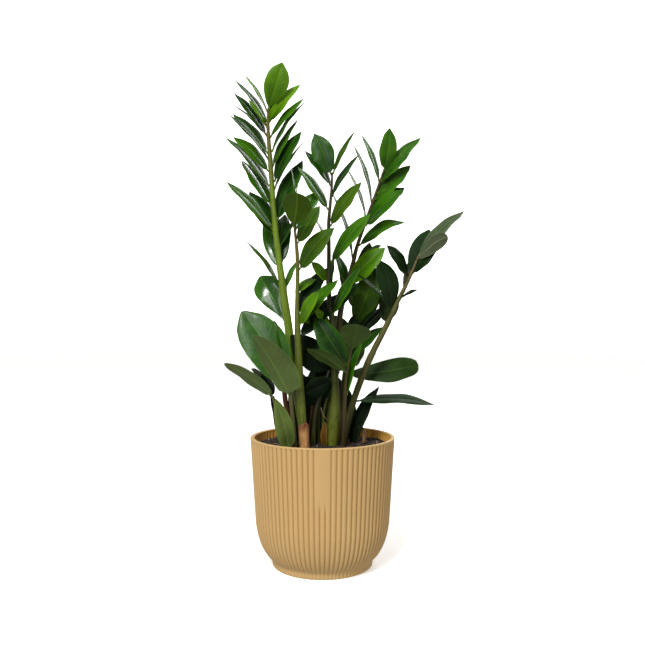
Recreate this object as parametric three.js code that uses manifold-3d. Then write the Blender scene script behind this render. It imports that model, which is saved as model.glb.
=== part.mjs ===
// A potted zz plant: a ribbed plastic pot, potting soil, two rhizomes, eleven stems and forty-three
// of its leaves, with the dry sheath and stalk left by two more.
// Millimetres, +Z up, origin on the floor at the middle of the pot's foot, the plant's front towards -Y.
import * as THREE from "three";
import { mergeVertices } from "three/addons/utils/BufferGeometryUtils.js";
import Module from "manifold-3d";

const wasm = await Module();
wasm.setup();

// Driving dimensions
const GAP = 0.4; // between pieces that touch in the real plant
const POT_HEIGHT = 158;
const RIM_RADIUS = 90;
const FOOT_RADIUS = 62.3;
const WALL = 5;
const SHOULDER_HEIGHT = 54; // where the straight wall turns in towards the foot
const WALL_SLOPE = 0.064; // radius lost for each millimetre down the straight wall
const FLOOR_TOP = 6;
const FOOT_BAND = 4.5; // height of the nearly upright band round the foot
const CREASE = [FOOT_RADIUS + 0.7, 8]; // [radius, height] that the fillet above the band bends towards
const BOWL_START = [FOOT_RADIUS + 3.7, 10.5];
const OUTER_BOWL = [[74.5, 19], [80.5, 31]]; // pulls on the curve from the foot up to the shoulder
const FLOOR_RADIUS = FOOT_RADIUS - 9; // where the flat floor inside ends
const INNER_BOWL = [[68, 16], [76, 34]];
const RIM_EDGE = 1; // bevel on both edges of the rim
const PAD_RADIUS = 15; // flat pad in the middle of the underside
const FOOT_RING = 10; // width of the ring that the pot stands on
const RECESS = 2;
const POT_SIDES = 48;
const CURVE_STEPS = 6;
const SOIL_TOP = 147;
const ROOT_DEPTH = 102; // height of the stems' lower ends, inside the rhizomes
const ROOT_TAPER = 0.8; // a stem's lower end, as a share of its foot
const TUBER_SIDES = 18;
const TUBER_RINGS = 10;
const STEM_SIDES = 8;
const STEM_STEPS = 14;
const STUB_STEPS = 6;
const LEAF_STEPS = 9;
const LEAF_THICKNESS = 1.1;
const OVER_MIDRIB = 0.3; // share of the thickness above the midrib; the rest is the ridge below
const LEAF_ARCH = 0.05; // how far a leaf bows up, as a share of its length
const LEAF_CUP = 0.16; // how far its edges rise, as a share of its half width
const LEAF_FULLNESS = 0.9; // below 1 fills the outline out towards both ends
const USUAL_WIDEST = 0.48; // where a leaf is widest, as a share of its length

const colours = {
  pot: "#c9a873",
  soil: "#1d1612",
  rhizome: "#8a7a4e",
  stem: "#6b7a3a",
  deadStem: "#6a3322",
  husk: "#96643a",
  leaf: "#2f5a1e",
};

const part = new THREE.Group();

function addMesh(name, geometry, colour, roughness) {
  const material = new THREE.MeshStandardMaterial({ color: colour, roughness, metalness: 0 });
  const mesh = new THREE.Mesh(geometry, material);
  mesh.name = name;
  part.add(mesh);
  return mesh;
}

function solidOf(geometry) {
  const bare = geometry.clone();
  bare.deleteAttribute("normal");
  bare.deleteAttribute("uv");
  const merged = mergeVertices(bare, 1e-4);
  const vertProperties = new Float32Array(merged.attributes.position.array);
  const triVerts = new Uint32Array(merged.index.array);
  return new wasm.Manifold(new wasm.Mesh({ numProp: 3, vertProperties, triVerts }));
}

function geometryOf(solid) {
  const mesh = solid.getMesh();
  const geometry = new THREE.BufferGeometry();
  geometry.setAttribute("position", new THREE.BufferAttribute(mesh.vertProperties, 3));
  geometry.setIndex(new THREE.BufferAttribute(mesh.triVerts, 1));
  return geometry;
}

// A profile of [radius, height] points turned about the vertical axis.
function turned(points) {
  return new THREE.LatheGeometry(points, POT_SIDES).rotateX(Math.PI / 2);
}

// Pot and soil

const shoulderRadius = RIM_RADIUS - WALL_SLOPE * (POT_HEIGHT - SHOULDER_HEIGHT);

function innerRadius(height) {
  return RIM_RADIUS - WALL - WALL_SLOPE * (POT_HEIGHT - height);
}

// The pot's inside, or a body that fills it with a gap all round, from the axis to the wall at a height.
function cavityProfile(gap, top) {
  const floor = FLOOR_TOP + gap;
  const shoulder = innerRadius(SHOULDER_HEIGHT) - gap;
  const [low, high] = INNER_BOWL;
  return new THREE.Path()
    .moveTo(0, floor)
    .lineTo(FLOOR_RADIUS - gap, floor)
    .bezierCurveTo(low[0] - gap, low[1] + gap, high[0] - gap, high[1] + gap, shoulder, SHOULDER_HEIGHT)
    .lineTo(innerRadius(top) - gap, top)
    .getPoints(CURVE_STEPS);
}

function potGeometry() {
  const outside = new THREE.Path()
    .moveTo(0, 0)
    .lineTo(PAD_RADIUS, 0)
    .lineTo(PAD_RADIUS + RECESS, RECESS)
    .lineTo(FOOT_RADIUS - FOOT_RING - RECESS, RECESS)
    .lineTo(FOOT_RADIUS - FOOT_RING, 0)
    .lineTo(FOOT_RADIUS, 0)
    .lineTo(FOOT_RADIUS + 0.5, FOOT_BAND)
    .quadraticCurveTo(...CREASE, ...BOWL_START)
    .bezierCurveTo(...OUTER_BOWL[0], ...OUTER_BOWL[1], shoulderRadius, SHOULDER_HEIGHT)
    .lineTo(RIM_RADIUS, POT_HEIGHT - RIM_EDGE)
    .lineTo(RIM_RADIUS - RIM_EDGE, POT_HEIGHT)
    .lineTo(RIM_RADIUS - WALL + RIM_EDGE, POT_HEIGHT)
    .getPoints(CURVE_STEPS);
  const inside = cavityProfile(0, POT_HEIGHT - RIM_EDGE).reverse();
  return turned([...outside, ...inside]);
}

function soilGeometry() {
  const profile = cavityProfile(GAP, SOIL_TOP);
  profile.push(new THREE.Vector2(0, SOIL_TOP));
  return turned(profile);
}

// Stems

// Each stem is a list of [x, y, z, diameter] from the soil to its top; below that it goes straight down to
// its rhizome.
const stems = {
  tall: [
    [-22, 8, 143, 11], [-33, 9, 215, 11], [-44, 10, 300, 10.5], [-54, 10, 371, 8.5],
    [-61, 11, 432, 7], [-66, 12, 502, 6.2], [-69, 12, 543, 4.6], [-69, 12, 571, 3],
  ],
  front: [
    [-23.5, -18, 150, 12], [-27.5, -19, 221, 10], [-30.5, -20, 290, 7.5], [-31, -20, 320, 5.5],
    [-30.5, -20, 349, 5], [-31, -21, 384, 4.5], [-34.5, -22, 418, 2.6],
  ],
  centre: [
    [12, -6, 145, 13], [14, -5, 172, 15.5], [16, -5, 200, 11.5], [15, -5, 240, 8],
    [13, -5, 295, 8], [8, -5, 330, 5.8], [8, -5, 375, 5.2], [8, -4, 430, 4.4], [11, -4, 460, 3.5],
    [12, -4, 487, 2.5],
  ],
  right: [
    [8, 16, 142, 9], [12, 17, 210, 8.5], [21, 19, 300, 7.5], [30, 20, 345, 6.5], [37, 20, 368, 5.6],
    [45, 21, 400, 4.8], [55, 22, 428, 4.4], [67, 23, 461, 3.8], [79, 24, 496, 2.6],
  ],
  leaning: [
    [27, 2, 145, 8], [30, 2, 165, 8], [37, 2, 195, 8], [46, 3, 222, 8], [62, 4, 260, 8],
    [80, 4, 295, 7], [94, 4, 325, 5.6], [109, 5, 355, 4.5], [121, 5, 384, 2.6],
  ],
  back: [
    [20, 28, 142, 7], [26, 30, 210, 6.5], [36, 31, 275, 5.5], [46, 32, 320, 4], [54, 33, 350, 2.4],
  ],
  short_front: [
    [25.5, -16, 146, 5], [27.5, -20, 202, 4.5], [29, -24, 232, 3.6], [32, -27, 251, 2.8], [35, -28, 266, 2.2],
  ],
  short_left: [
    [-33.3, -22, 150, 4.5], [-35, -24, 172, 5], [-37, -26, 192, 5], [-39.5, -29, 219, 5],
  ],
  low_left: [
    [-44, 2, 146, 5], [-52, -2, 175, 4.6], [-58, -4, 195, 4], [-62, -5, 208, 3.4],
  ],
  thin: [
    [-12, 2, 146, 6.5], [-8, 4, 190, 5.5], [2, 6, 220, 4.5], [9, 8, 240, 3.2],
  ],
  dead: [
    [-38, 4, 148, 7], [-44, 4, 185, 6.5], [-47, 4, 203, 6.5], [-49, 4, 228, 5],
  ],
};

// The bent stalk of a leaf that has withered, at the right of the stems.
const stub = [[52, 6, SOIL_TOP + 0.5, 5], [53, 6, 158, 5], [51, 6, 165, 5], [46, 6, 168, 4]];

// The torn dry sheath that still wraps the front stem's foot, open at the back.
const husk = { inner: 6.9, outer: 8.1, from: 200, to: 410, low: SOIL_TOP + 1, high: 179, lean: 0.056 };

// A leaf that comes straight out of the soil at the front left, on no stem.
const soilLeaf = { base: [-40, -40, SOIL_TOP + 0.6], reach: [-16, -5, 62], width: 23, turn: 20 };

function huskGeometry() {
  const [x, y, z] = stems.front[0];
  const from = THREE.MathUtils.degToRad(husk.from);
  const to = THREE.MathUtils.degToRad(husk.to);
  const outline = new THREE.Shape();
  outline.absarc(0, 0, husk.outer, from, to, false);
  outline.absarc(0, 0, husk.inner, to, from, true);
  const wall = new THREE.ExtrudeGeometry(outline, {
    depth: husk.high - husk.low,
    bevelEnabled: false,
    curveSegments: 10,
  });
  const away = husk.low - z;
  return wall.rotateY(-husk.lean).translate(x - away * husk.lean, y, husk.low);
}

function routeOf(points) {
  const places = points.map(([x, y, z]) => new THREE.Vector3(x, y, z));
  return new THREE.CatmullRomCurve3(places, false, "centripetal");
}

function diameterAt(points, share) {
  const place = share * (points.length - 1);
  const before = Math.min(Math.floor(place), points.length - 2);
  return THREE.MathUtils.lerp(points[before][3], points[before + 1][3], place - before);
}

// A closed round bar that follows the points and tapers with their diameters.
function barGeometry(points, steps, growth = 0) {
  const route = routeOf(points);
  const bar = new THREE.CylinderGeometry(1, 1, 1, STEM_SIDES, steps);
  const places = bar.attributes.position;
  for (let i = 0; i < places.count; i++) {
    const share = places.getY(i) + 0.5;
    const radius = diameterAt(points, share) / 2 + growth;
    const tangent = route.getTangent(share);
    const side = new THREE.Vector3(0, 1, 0).cross(tangent).normalize();
    const front = tangent.clone().cross(side);
    const point = route.getPoint(share);
    point.addScaledVector(side, -places.getX(i) * radius);
    point.addScaledVector(front, places.getZ(i) * radius);
    if (share === 0) point.addScaledVector(tangent, -growth);
    if (share === 1) point.addScaledVector(tangent, growth);
    places.setXYZ(i, point.x, point.y, point.z);
  }
  return bar;
}

function withRoot(points) {
  const [x, y, , diameter] = points[0];
  return [[x, y, ROOT_DEPTH, diameter * ROOT_TAPER], ...points];
}

function stemGeometry(points, growth) {
  return barGeometry(withRoot(points), STEM_STEPS, growth);
}

// Rhizomes: the swollen tubers that the stems grow from, with a socket round each stem's foot.

const rhizomes = {
  left: { centre: [-35, -6, 100], radii: [18, 28, 17] },
  right: { centre: [14, 6, 98], radii: [30, 30, 19] },
};

function rhizomeGeometry({ centre, radii }, growth) {
  const tuber = new THREE.SphereGeometry(1, TUBER_SIDES, TUBER_RINGS).rotateX(Math.PI / 2);
  const scale = radii.map((radius) => radius + growth);
  return tuber.scale(...scale).translate(...centre);
}

// Leaves

// Half the leaf's width along its length, as a share of the widest, which comes at the given share of it.
function outline(share, widest) {
  const skewed = share ** (Math.log(0.5) / Math.log(widest));
  return Math.sin(Math.PI * skewed) ** LEAF_FULLNESS;
}

// A thin closed leaf from base to tip. At turn 0 its upper face looks to the front; turn is in degrees about
// the line from base to tip. The halves rise a little from the midrib and the leaf arches back as it goes out.
function leafGeometry(base, reach, width, turn, widest = USUAL_WIDEST) {
  const length = reach.length();
  const along = reach.clone().normalize();
  const up = new THREE.Vector3(0, -1, 0);
  up.addScaledVector(along, -up.dot(along)).normalize();
  up.applyAxisAngle(along, THREE.MathUtils.degToRad(turn));
  const side = along.clone().cross(up);
  const leaf = new THREE.SphereGeometry(1, 4, LEAF_STEPS);
  const places = leaf.attributes.position;
  for (let i = 0; i < places.count; i++) {
    const share = 1 - Math.acos(THREE.MathUtils.clamp(places.getY(i), -1, 1)) / Math.PI;
    const ringRadius = Math.hypot(places.getX(i), places.getZ(i)) || 1;
    const across = places.getX(i) / ringRadius;
    const through = places.getZ(i) / ringRadius;
    const isPole = share < 0.01 || share > 0.99;
    const halfWidth = isPole ? 0 : (outline(share, widest) * width) / 2;
    const arch = LEAF_ARCH * length * Math.sin(Math.PI * share);
    const cup = LEAF_CUP * halfWidth * Math.abs(across);
    const ridgeShare = through > 0 ? OVER_MIDRIB : 1 - OVER_MIDRIB;
    const thickness = isPole ? 0 : LEAF_THICKNESS * ridgeShare * through;
    const point = base.clone().addScaledVector(along, share * length);
    point.addScaledVector(side, across * halfWidth);
    point.addScaledVector(up, arch + cup + thickness);
    places.setXYZ(i, point.x, point.y, point.z);
  }
  return leaf;
}

// Each row is a leaf: [height on its stem, [reach x, y, z] from stalk to point, width, turn, widest share].
const leaves = {
  tall: [
    [571, [19, -22, 50], 31, 8, 0.56],
    [555, [38, -6, 46], 25, -44],
    [538, [-39, -8, 51], 26, 55],
    [516, [-44, 10, 53], 26, 57],
    [517, [41, -4, 62], 27, -68],
    [492, [-42, -14, 40], 27, 53],
    [474, [-54, 4, 63], 30, 66],
    [449, [-38, 18, 62], 30, 48],
    [413, [-30, 10, 56], 30, 43],
    [479, [33, -6, 62], 28, -50],
    [429, [30, 16, 81], 33, -43],
    [369, [-18, 40, 75], 29, -4],
    [374, [3, 29, 68], 28, -12],
    [302, [-34, 22, 60], 36, -2, 0.58],
  ],
  front: [
    [417, [6, -62, 28], 36, 180, 0.56],
    [397, [26, -8, 44], 25, -35],
    [365, [41, -14, 49], 30, -37],
    [297, [22, -18, 40], 22, -50],
    [299, [45, 4, 54], 28, -60],
  ],
  centre: [
    [485, [-21, 9, 54], 28, -4, 0.55],
    [441, [-36, -6, 51], 27, 54],
    [420, [37, -4, 54], 28, -52],
    [375, [47, -6, 60], 31, -57],
  ],
  right: [
    [496, [7, -8, 51], 24, 15],
    [486, [49, 6, 55], 28, -52],
    [425, [44, -26, 41], 30, -46],
    [400, [52, -10, 35], 26, -57],
    [351, [43, -20, 43], 29, -33],
  ],
  leaning: [
    [357, [-28, -20, 37], 24, 48],
    [363, [26, 26, 59], 28, -25],
    [384, [57, 6, 58], 29, -65],
    [379, [31, -38, 24], 24, 138, 0.56],
    [314, [-15, -6, 62], 28, 20, 0.54],
    [203, [95, -10, -2], 34, -75],
  ],
  back: [
    [234, [92, 0, 14], 34, -30, 0.6],
    [295, [26, -14, 74], 34, -10, 0.54],
  ],
  short_front: [
    [266, [3, -60, 31], 37, 180, 0.6],
    [240, [-46, -30, 30], 28, 125],
    [247, [-39, 8, 60], 31, 15],
  ],
  short_left: [
    [219, [-60, 19, 94], 54, 10, 0.55],
    [213, [-38, -48, 73], 40, 152],
  ],
  low_left: [
    [208, [-58, -12, 41], 32, 122],
  ],
};

// The place on a stem at a height, moved out to the stem's surface on the side that the leaf reaches to.
function stalkPoint(points, height, reach) {
  const route = routeOf(points);
  const steps = 400;
  let share = 1;
  for (let i = 0; i <= steps; i++) {
    if (route.getPoint(i / steps).z >= height) {
      share = i / steps;
      break;
    }
  }
  const tangent = route.getTangent(share);
  const out = reach.clone().addScaledVector(tangent, -reach.dot(tangent)).normalize();
  const atTop = share > 0.995;
  const point = route.getPoint(share);
  if (atTop) return point.addScaledVector(tangent, 1).addScaledVector(out, GAP);
  return point.addScaledVector(out, diameterAt(points, share) / 2 + GAP);
}

// The assembly

addMesh("pot", potGeometry(), colours.pot, 0.6);

let soil = solidOf(soilGeometry());
for (const points of Object.values(stems)) soil = soil.subtract(solidOf(stemGeometry(points, GAP)));
for (const shape of Object.values(rhizomes)) soil = soil.subtract(solidOf(rhizomeGeometry(shape, GAP)));
addMesh("soil", geometryOf(soil), colours.soil, 1);

for (const [name, shape] of Object.entries(rhizomes)) {
  let tuber = solidOf(rhizomeGeometry(shape, 0));
  for (const points of Object.values(stems)) tuber = tuber.subtract(solidOf(stemGeometry(points, GAP)));
  addMesh(`rhizome_${name}`, geometryOf(tuber), colours.rhizome, 0.8);
}

for (const [name, points] of Object.entries(stems)) {
  addMesh(`stem_${name}`, stemGeometry(points, 0), name === "dead" ? colours.deadStem : colours.stem, 0.5);
}
addMesh("husk", huskGeometry(), colours.husk, 0.8);
addMesh("dried_stub", barGeometry(stub, STUB_STEPS), colours.husk, 0.8);

for (const [name, rows] of Object.entries(leaves)) {
  rows.forEach(([height, reach, width, turn, widest], i) => {
    const span = new THREE.Vector3(...reach);
    const base = stalkPoint(stems[name], height, span);
    addMesh(`leaf_${name}_${i + 1}`, leafGeometry(base, span, width, turn, widest), colours.leaf, 0.35);
  });
}

addMesh(
  "leaf_from_soil",
  leafGeometry(
    new THREE.Vector3(...soilLeaf.base),
    new THREE.Vector3(...soilLeaf.reach),
    soilLeaf.width,
    soilLeaf.turn,
  ),
  colours.leaf,
  0.35,
);

export default part;
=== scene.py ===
import math
import random
from typing import NamedTuple

import bpy
import numpy as np
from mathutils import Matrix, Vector, noise


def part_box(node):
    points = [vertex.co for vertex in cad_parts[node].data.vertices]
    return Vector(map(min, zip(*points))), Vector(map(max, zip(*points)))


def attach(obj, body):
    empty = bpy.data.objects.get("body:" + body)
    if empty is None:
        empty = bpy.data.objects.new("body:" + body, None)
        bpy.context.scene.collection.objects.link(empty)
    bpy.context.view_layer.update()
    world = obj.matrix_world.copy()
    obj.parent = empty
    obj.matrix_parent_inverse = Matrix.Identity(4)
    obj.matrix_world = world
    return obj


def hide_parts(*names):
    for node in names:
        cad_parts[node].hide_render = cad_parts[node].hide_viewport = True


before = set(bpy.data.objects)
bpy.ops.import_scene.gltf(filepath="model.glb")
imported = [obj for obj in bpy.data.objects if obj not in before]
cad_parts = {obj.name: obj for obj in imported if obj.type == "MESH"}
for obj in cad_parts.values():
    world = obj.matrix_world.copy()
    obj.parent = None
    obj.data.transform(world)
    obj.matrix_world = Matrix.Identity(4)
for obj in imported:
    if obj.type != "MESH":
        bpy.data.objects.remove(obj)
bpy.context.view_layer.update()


# The pot: one injection-moulded shell of matte plastic, sand-coloured all through. Upright ribs run round
# it inside and out, from under the smooth rim down over the foot. The front has one plain strip, three ribs
# wide, that melts into the ribs half way down.
MM = 0.001
POT_RIBS = 84
POINTS_PER_RIB = 10
RIB_DEPTH = 1.35 * MM
INNER_RIB_DEPTH = 1.2 * MM
STRIP_RIBS = 3
STRIP_FADES_OUT = 84 * MM
STRIP_IS_PLAIN = 98 * MM
WALL = 5 * MM
WALL_SLOPE = 0.064
RIM_BAND = 1.5 * MM
SHOULDER_HEIGHT = 54 * MM
FOOT_RADIUS = 62.3 * MM
INNER_RIBS_LENGTH = 60 * MM

_, pot_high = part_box("pot")
rim_radius = pot_high.x
pot_height = pot_high.z


def smoothstep(low, high, value):
    """0 below low, 1 above high, smooth between."""
    share = np.clip((np.asarray(value, float) - low) / (high - low), 0, 1)
    return share * share * (3 - 2 * share)


def bezier(start, pull_start, pull_end, end, count):
    """Points along a cubic curve, without its start."""
    share = np.linspace(0, 1, count + 1)[1:, None]
    rest = 1 - share
    start, pull_start, pull_end, end = (np.array(p, float) for p in (start, pull_start, pull_end, end))
    return (rest**3 * start + 3 * rest**2 * share * pull_start
            + 3 * rest * share**2 * pull_end + share**3 * end)


def add_object(name, data):
    """Puts a mesh, light or camera into the scene."""
    made = bpy.data.objects.new(name, data)
    bpy.context.scene.collection.objects.link(made)
    return made


def mesh_object(name, points, faces, materials, face_material=None, attributes=None):
    """A smooth-shaded mesh object that rides on the root body."""
    mesh = bpy.data.meshes.new(name)
    mesh.from_pydata([tuple(p) for p in points], [], faces)
    mesh.polygons.foreach_set("use_smooth", [True] * len(faces))
    for material in materials:
        mesh.materials.append(material)
    if face_material is not None:
        mesh.polygons.foreach_set("material_index", face_material)
    for key, values in (attributes or {}).items():
        layer = mesh.attributes.new(key, "FLOAT", "POINT")
        layer.data.foreach_set("value", np.asarray(values, np.float32))
    mesh.update()
    made = add_object(name, mesh)
    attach(made, "root")
    return made


def ring_faces(rows, columns):
    """Quads between rows of points that each close on themselves."""
    faces = []
    for row in range(rows - 1):
        for column in range(columns):
            here = row * columns + column
            right = row * columns + (column + 1) % columns
            faces.append((here, right, right + columns, here + columns))
    return faces


def closed_faces(rows, columns):
    """Ring faces with both ends closed by a fan, round the two points that come after the rows."""
    faces = ring_faces(rows, columns)
    first_end = rows * columns
    last_row = first_end - columns
    for column in range(columns):
        after = (column + 1) % columns
        faces.append((first_end, after, column))
        faces.append((first_end + 1, last_row + column, last_row + after))
    return faces


class Wire:
    """One output of a shader node. Sums written with it add the Math nodes that work them out."""

    def __init__(self, tree, socket=None):
        self.tree = tree
        self.socket = socket

    def node(self, kind, settings=None, inputs=None, output=0):
        """Adds a node to the same material: settings first, then its inputs' values or links."""
        made = self.tree.nodes.new("ShaderNode" + kind)
        for key, value in (settings or {}).items():
            setattr(made, key, value)
        connect(made, inputs or {})
        return Wire(self.tree, made.outputs[output])

    def math(self, operation, *others):
        """A Math node's result on this value and the others."""
        return self.node("Math", {"operation": operation}, dict(enumerate((self, *others))))

    def mix(self, low, high):
        """The colour low where this value is 0, and high where it is 1."""
        return self.node("Mix", {"data_type": "RGBA"}, {0: self, 6: low, 7: high}, 2)

    def band(self, low, high):
        """0 below low, 1 above high, smooth between."""
        inputs = {"Value": self, "From Min": low, "From Max": high}
        return self.node("MapRange", {"interpolation_type": "SMOOTHSTEP"}, inputs)

    def attribute(self, name):
        """The value of that name that the mesh holds at each of its points."""
        return self.node("Attribute", {"attribute_name": name}, output="Fac")

    def __add__(self, other):
        return self.math("ADD", other)

    def __sub__(self, other):
        return self.math("SUBTRACT", other)

    def __rsub__(self, other):
        return self.node("Math", {"operation": "SUBTRACT"}, {0: other, 1: self})

    def __mul__(self, other):
        return self.math("MULTIPLY", other)

    __radd__ = __add__
    __rmul__ = __mul__


def connect(node, inputs):
    """Sets a node's inputs to values, or links them to wires."""
    for key, value in inputs.items():
        if isinstance(value, Wire):
            node.id_data.links.new(value.socket, node.inputs[key])
        else:
            node.inputs[key].default_value = value


def new_material(name):
    """A material, a wire to start its shader sums from, and its surface shader."""
    made = bpy.data.materials.new(name)
    made.use_nodes = True
    return made, Wire(made.node_tree), made.node_tree.nodes["Principled BSDF"]


def rgb(red, green, blue):
    """A colour as painters' 0 to 255 values, in the light-linear numbers that shaders take."""
    share = (np.array([red, green, blue]) / 255) ** 2.2
    return (*share.tolist(), 1)


def noise_wire(wire, scale, detail=2, roughness=0.5, stretch=(1, 1, 1), place=None):
    """Smooth random values over the surface; stretch is how many times finer it is on each axis."""
    place = place or wire.node("TexCoord", output="Object")
    vector = wire.node("Mapping", {}, {"Vector": place, "Scale": stretch})
    return wire.node("TexNoise", {}, {"Vector": vector, "Scale": scale, "Detail": detail,
                                      "Roughness": roughness})


def bump_wire(wire, height, distance, strength):
    """Fine relief, up to distance metres high."""
    return wire.node("Bump", {}, {"Height": height, "Distance": distance, "Strength": strength})


def pot_outline():
    """[radius, height] from the underside's middle, up the outside, over the rim and down the inside."""
    rim, top, wall, foot, shoulder_height = (size / MM for size in (
        rim_radius, pot_height, WALL, FOOT_RADIUS, SHOULDER_HEIGHT))
    shoulder = rim - WALL_SLOPE * (top - shoulder_height)
    under = [(3, 0), (14, 0), (15, 0), (16, 2), (40, 2), (50, 2), (52, 0), (57, 0)]
    foot_edge = [(foot - 0.5, 0), (foot, 0.6), (foot + 0.25, 2.4), (foot + 0.4, 4.5)]
    foot_curve = bezier(foot_edge[-1], (foot + 0.6, 7.2), (foot + 1.8, 9), (foot + 3.7, 10.5), 5)
    belly = bezier(foot_curve[-1], (74.5, 19), (80.5, 31), (shoulder, shoulder_height), 17)
    up = np.linspace(shoulder_height, top - 6, 18)[1:]
    up = np.append(up, top - np.array([4.6, 3.6, 2.8, 2.2, 1.6, 1]))
    outside = np.stack([rim - WALL_SLOPE * (top - up), up], 1)
    edge = [(rim - 0.15, top - 0.5), (rim - 0.6, top - 0.12), (rim - 1.2, top), (rim - wall + 1.2, top),
            (rim - wall + 0.4, top - 0.2)]
    down = top - np.array([0.8, 1.4, 2.2, 3.2, 4.6, 7, 10, 14, 40, 75, 104])
    inside = np.stack([rim - wall - WALL_SLOPE * (top - down), down], 1)
    bowl = bezier(inside[-1], (shoulder - 5, 32), (70, 14), (54, 7), 5)
    floor = [(30, 6.2), (3, 6)]
    return np.concatenate([under, foot_edge, foot_curve, belly, outside, edge, inside, bowl, floor]) * MM


def rib_shape(turn, height):
    """How far in from the crests the surface lies, as a share of the rib depth."""
    place = turn / (2 * math.pi) * POT_RIBS
    within = np.abs(place - np.round(place)) * 2
    groove = within**2.2
    half_strip = STRIP_RIBS / 2
    strip = (np.abs(place) / half_strip) ** 14
    plain = smoothstep(STRIP_FADES_OUT, STRIP_IS_PLAIN, height) * (np.abs(place) < half_strip)
    return groove * (1 - plain) + np.minimum(strip, 1) * plain


def build_pot(material):
    """The pot's skin. Its points hold how deep in a rib's groove they lie, and whether they are inside; the
    plastic uses these to paint shade into the grooves and warm light onto the inner wall.
    """
    outline = pot_outline()
    count = POT_RIBS * POINTS_PER_RIB
    turns = (np.arange(count) / count * 2 - 1) * math.pi
    rows = []
    groove_depths_for_painted_shade = []
    inner_wall_flags_for_painted_light = []
    highest = int(np.argmax(outline[:, 1]))
    for row, (radius, height) in enumerate(outline):
        under_rim = 1 - smoothstep(pot_height - 2 * RIM_BAND, pot_height - RIM_BAND * 0.8, height)
        if row < highest:
            on_wall = smoothstep(57 * MM, 62 * MM, radius)
            over_foot = 0.6 + 0.4 * smoothstep(6 * MM, 20 * MM, height)
            groove = under_rim * on_wall * over_foot * rib_shape(turns, height)
            ribbed = radius - RIB_DEPTH * groove
        else:
            near_top = smoothstep(pot_height - INNER_RIBS_LENGTH, pot_height - 20 * MM, height)
            groove = under_rim * near_top * rib_shape(turns, 0.0)
            ribbed = radius + INNER_RIB_DEPTH * groove
        groove_depths_for_painted_shade.append(groove)
        inner_wall_flags_for_painted_light.append(np.full(count, float(row > highest + 2)))
        rows.append(np.stack([np.sin(turns) * ribbed, -np.cos(turns) * ribbed,
                              np.full(count, height)], 1))
    points = np.concatenate([*rows, [[0, 0, 0], [0, 0, outline[-1][1]]]])
    values = {"groove": np.concatenate([*groove_depths_for_painted_shade, [0, 0]]), "inside": np.concatenate([*inner_wall_flags_for_painted_light, [0, 0]])}
    return mesh_object("pot_shell", points, closed_faces(len(outline), count), [material], attributes=values)


def pot_plastic():
    made, wire, shader = new_material("pot_plastic")
    cloud = noise_wire(wire, 9, 3)
    speckle = noise_wire(wire, 900, 2, 0.6)
    grain = noise_wire(wire, 2600, 2, 0.6)
    tint = cloud.band(0.3, 0.7).mix(rgb(187, 154, 103), rgb(194, 161, 109))
    tint = (speckle.band(0.56, 0.72) * 0.22).mix(tint, rgb(160, 124, 76))
    groove = wire.attribute("groove")
    inside = wire.attribute("inside")
    # Painted shade: the grooves darken towards a deeper brown the deeper they lie.
    tint = (groove.band(0.15, 1.0) * 0.7).mix(tint, rgb(144, 102, 54))
    # Painted light: the inner wall is the same plastic, coloured a warmer, deeper orange for the warm light
    # inside the pot.
    tint = (inside * (1 - groove * 0.4)).mix(tint, rgb(208, 152, 68))
    connect(shader, {
        "Base Color": tint,
        "Roughness": 0.52 + cloud * 0.1,
        "Normal": bump_wire(wire, grain, 0.00006, 0.5),
        "Specular IOR Level": 0.3,
    })
    return made


pot = build_pot(pot_plastic())
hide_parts("pot")


# The soil: dark peat and bark potting mix, poured in level to a finger's width under the rim round the
# stems. Crumbs, bark chips and pale grains of pumice lie loose on its surface.
SOIL_RINGS = 90
SOIL_SPOKES = 260
SOIL_DEPTH = 12 * MM
BARE_EDGE = 2.5 * MM

_, soil_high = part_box("soil")
soil_radius = soil_high.x
soil_edge = soil_high.z


def soil_height(x, y):
    """The height of the soil's rough surface, in metres."""
    lumps = noise.noise((x * 95, y * 95, 1.7)) * 1.5 + noise.noise((x * 260, y * 260, 4.1)) * 0.9
    crumbs = noise.noise((x * 700, y * 700, 8.3)) * 0.55
    return soil_edge + (lumps + crumbs - 0.6) * MM


def build_soil(material):
    """A rough round slab: its top, a straight side and a flat bottom."""
    turns = [spoke / SOIL_SPOKES * 2 * math.pi for spoke in range(SOIL_SPOKES)]
    bottom = soil_edge - SOIL_DEPTH
    points = []
    for ring in range(1, SOIL_RINGS + 1):
        radius = soil_radius * ring / SOIL_RINGS
        for turn in turns:
            x = radius * math.cos(turn)
            y = radius * math.sin(turn)
            points.append((x, y, soil_height(x, y)))
    points.extend((soil_radius * math.cos(turn), soil_radius * math.sin(turn), bottom) for turn in turns)
    points.extend(((0, 0, soil_height(0, 0)), (0, 0, bottom)))
    faces = [face[::-1] for face in closed_faces(SOIL_RINGS + 1, SOIL_SPOKES)]
    return mesh_object("soil_surface", points, faces, [material])


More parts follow.
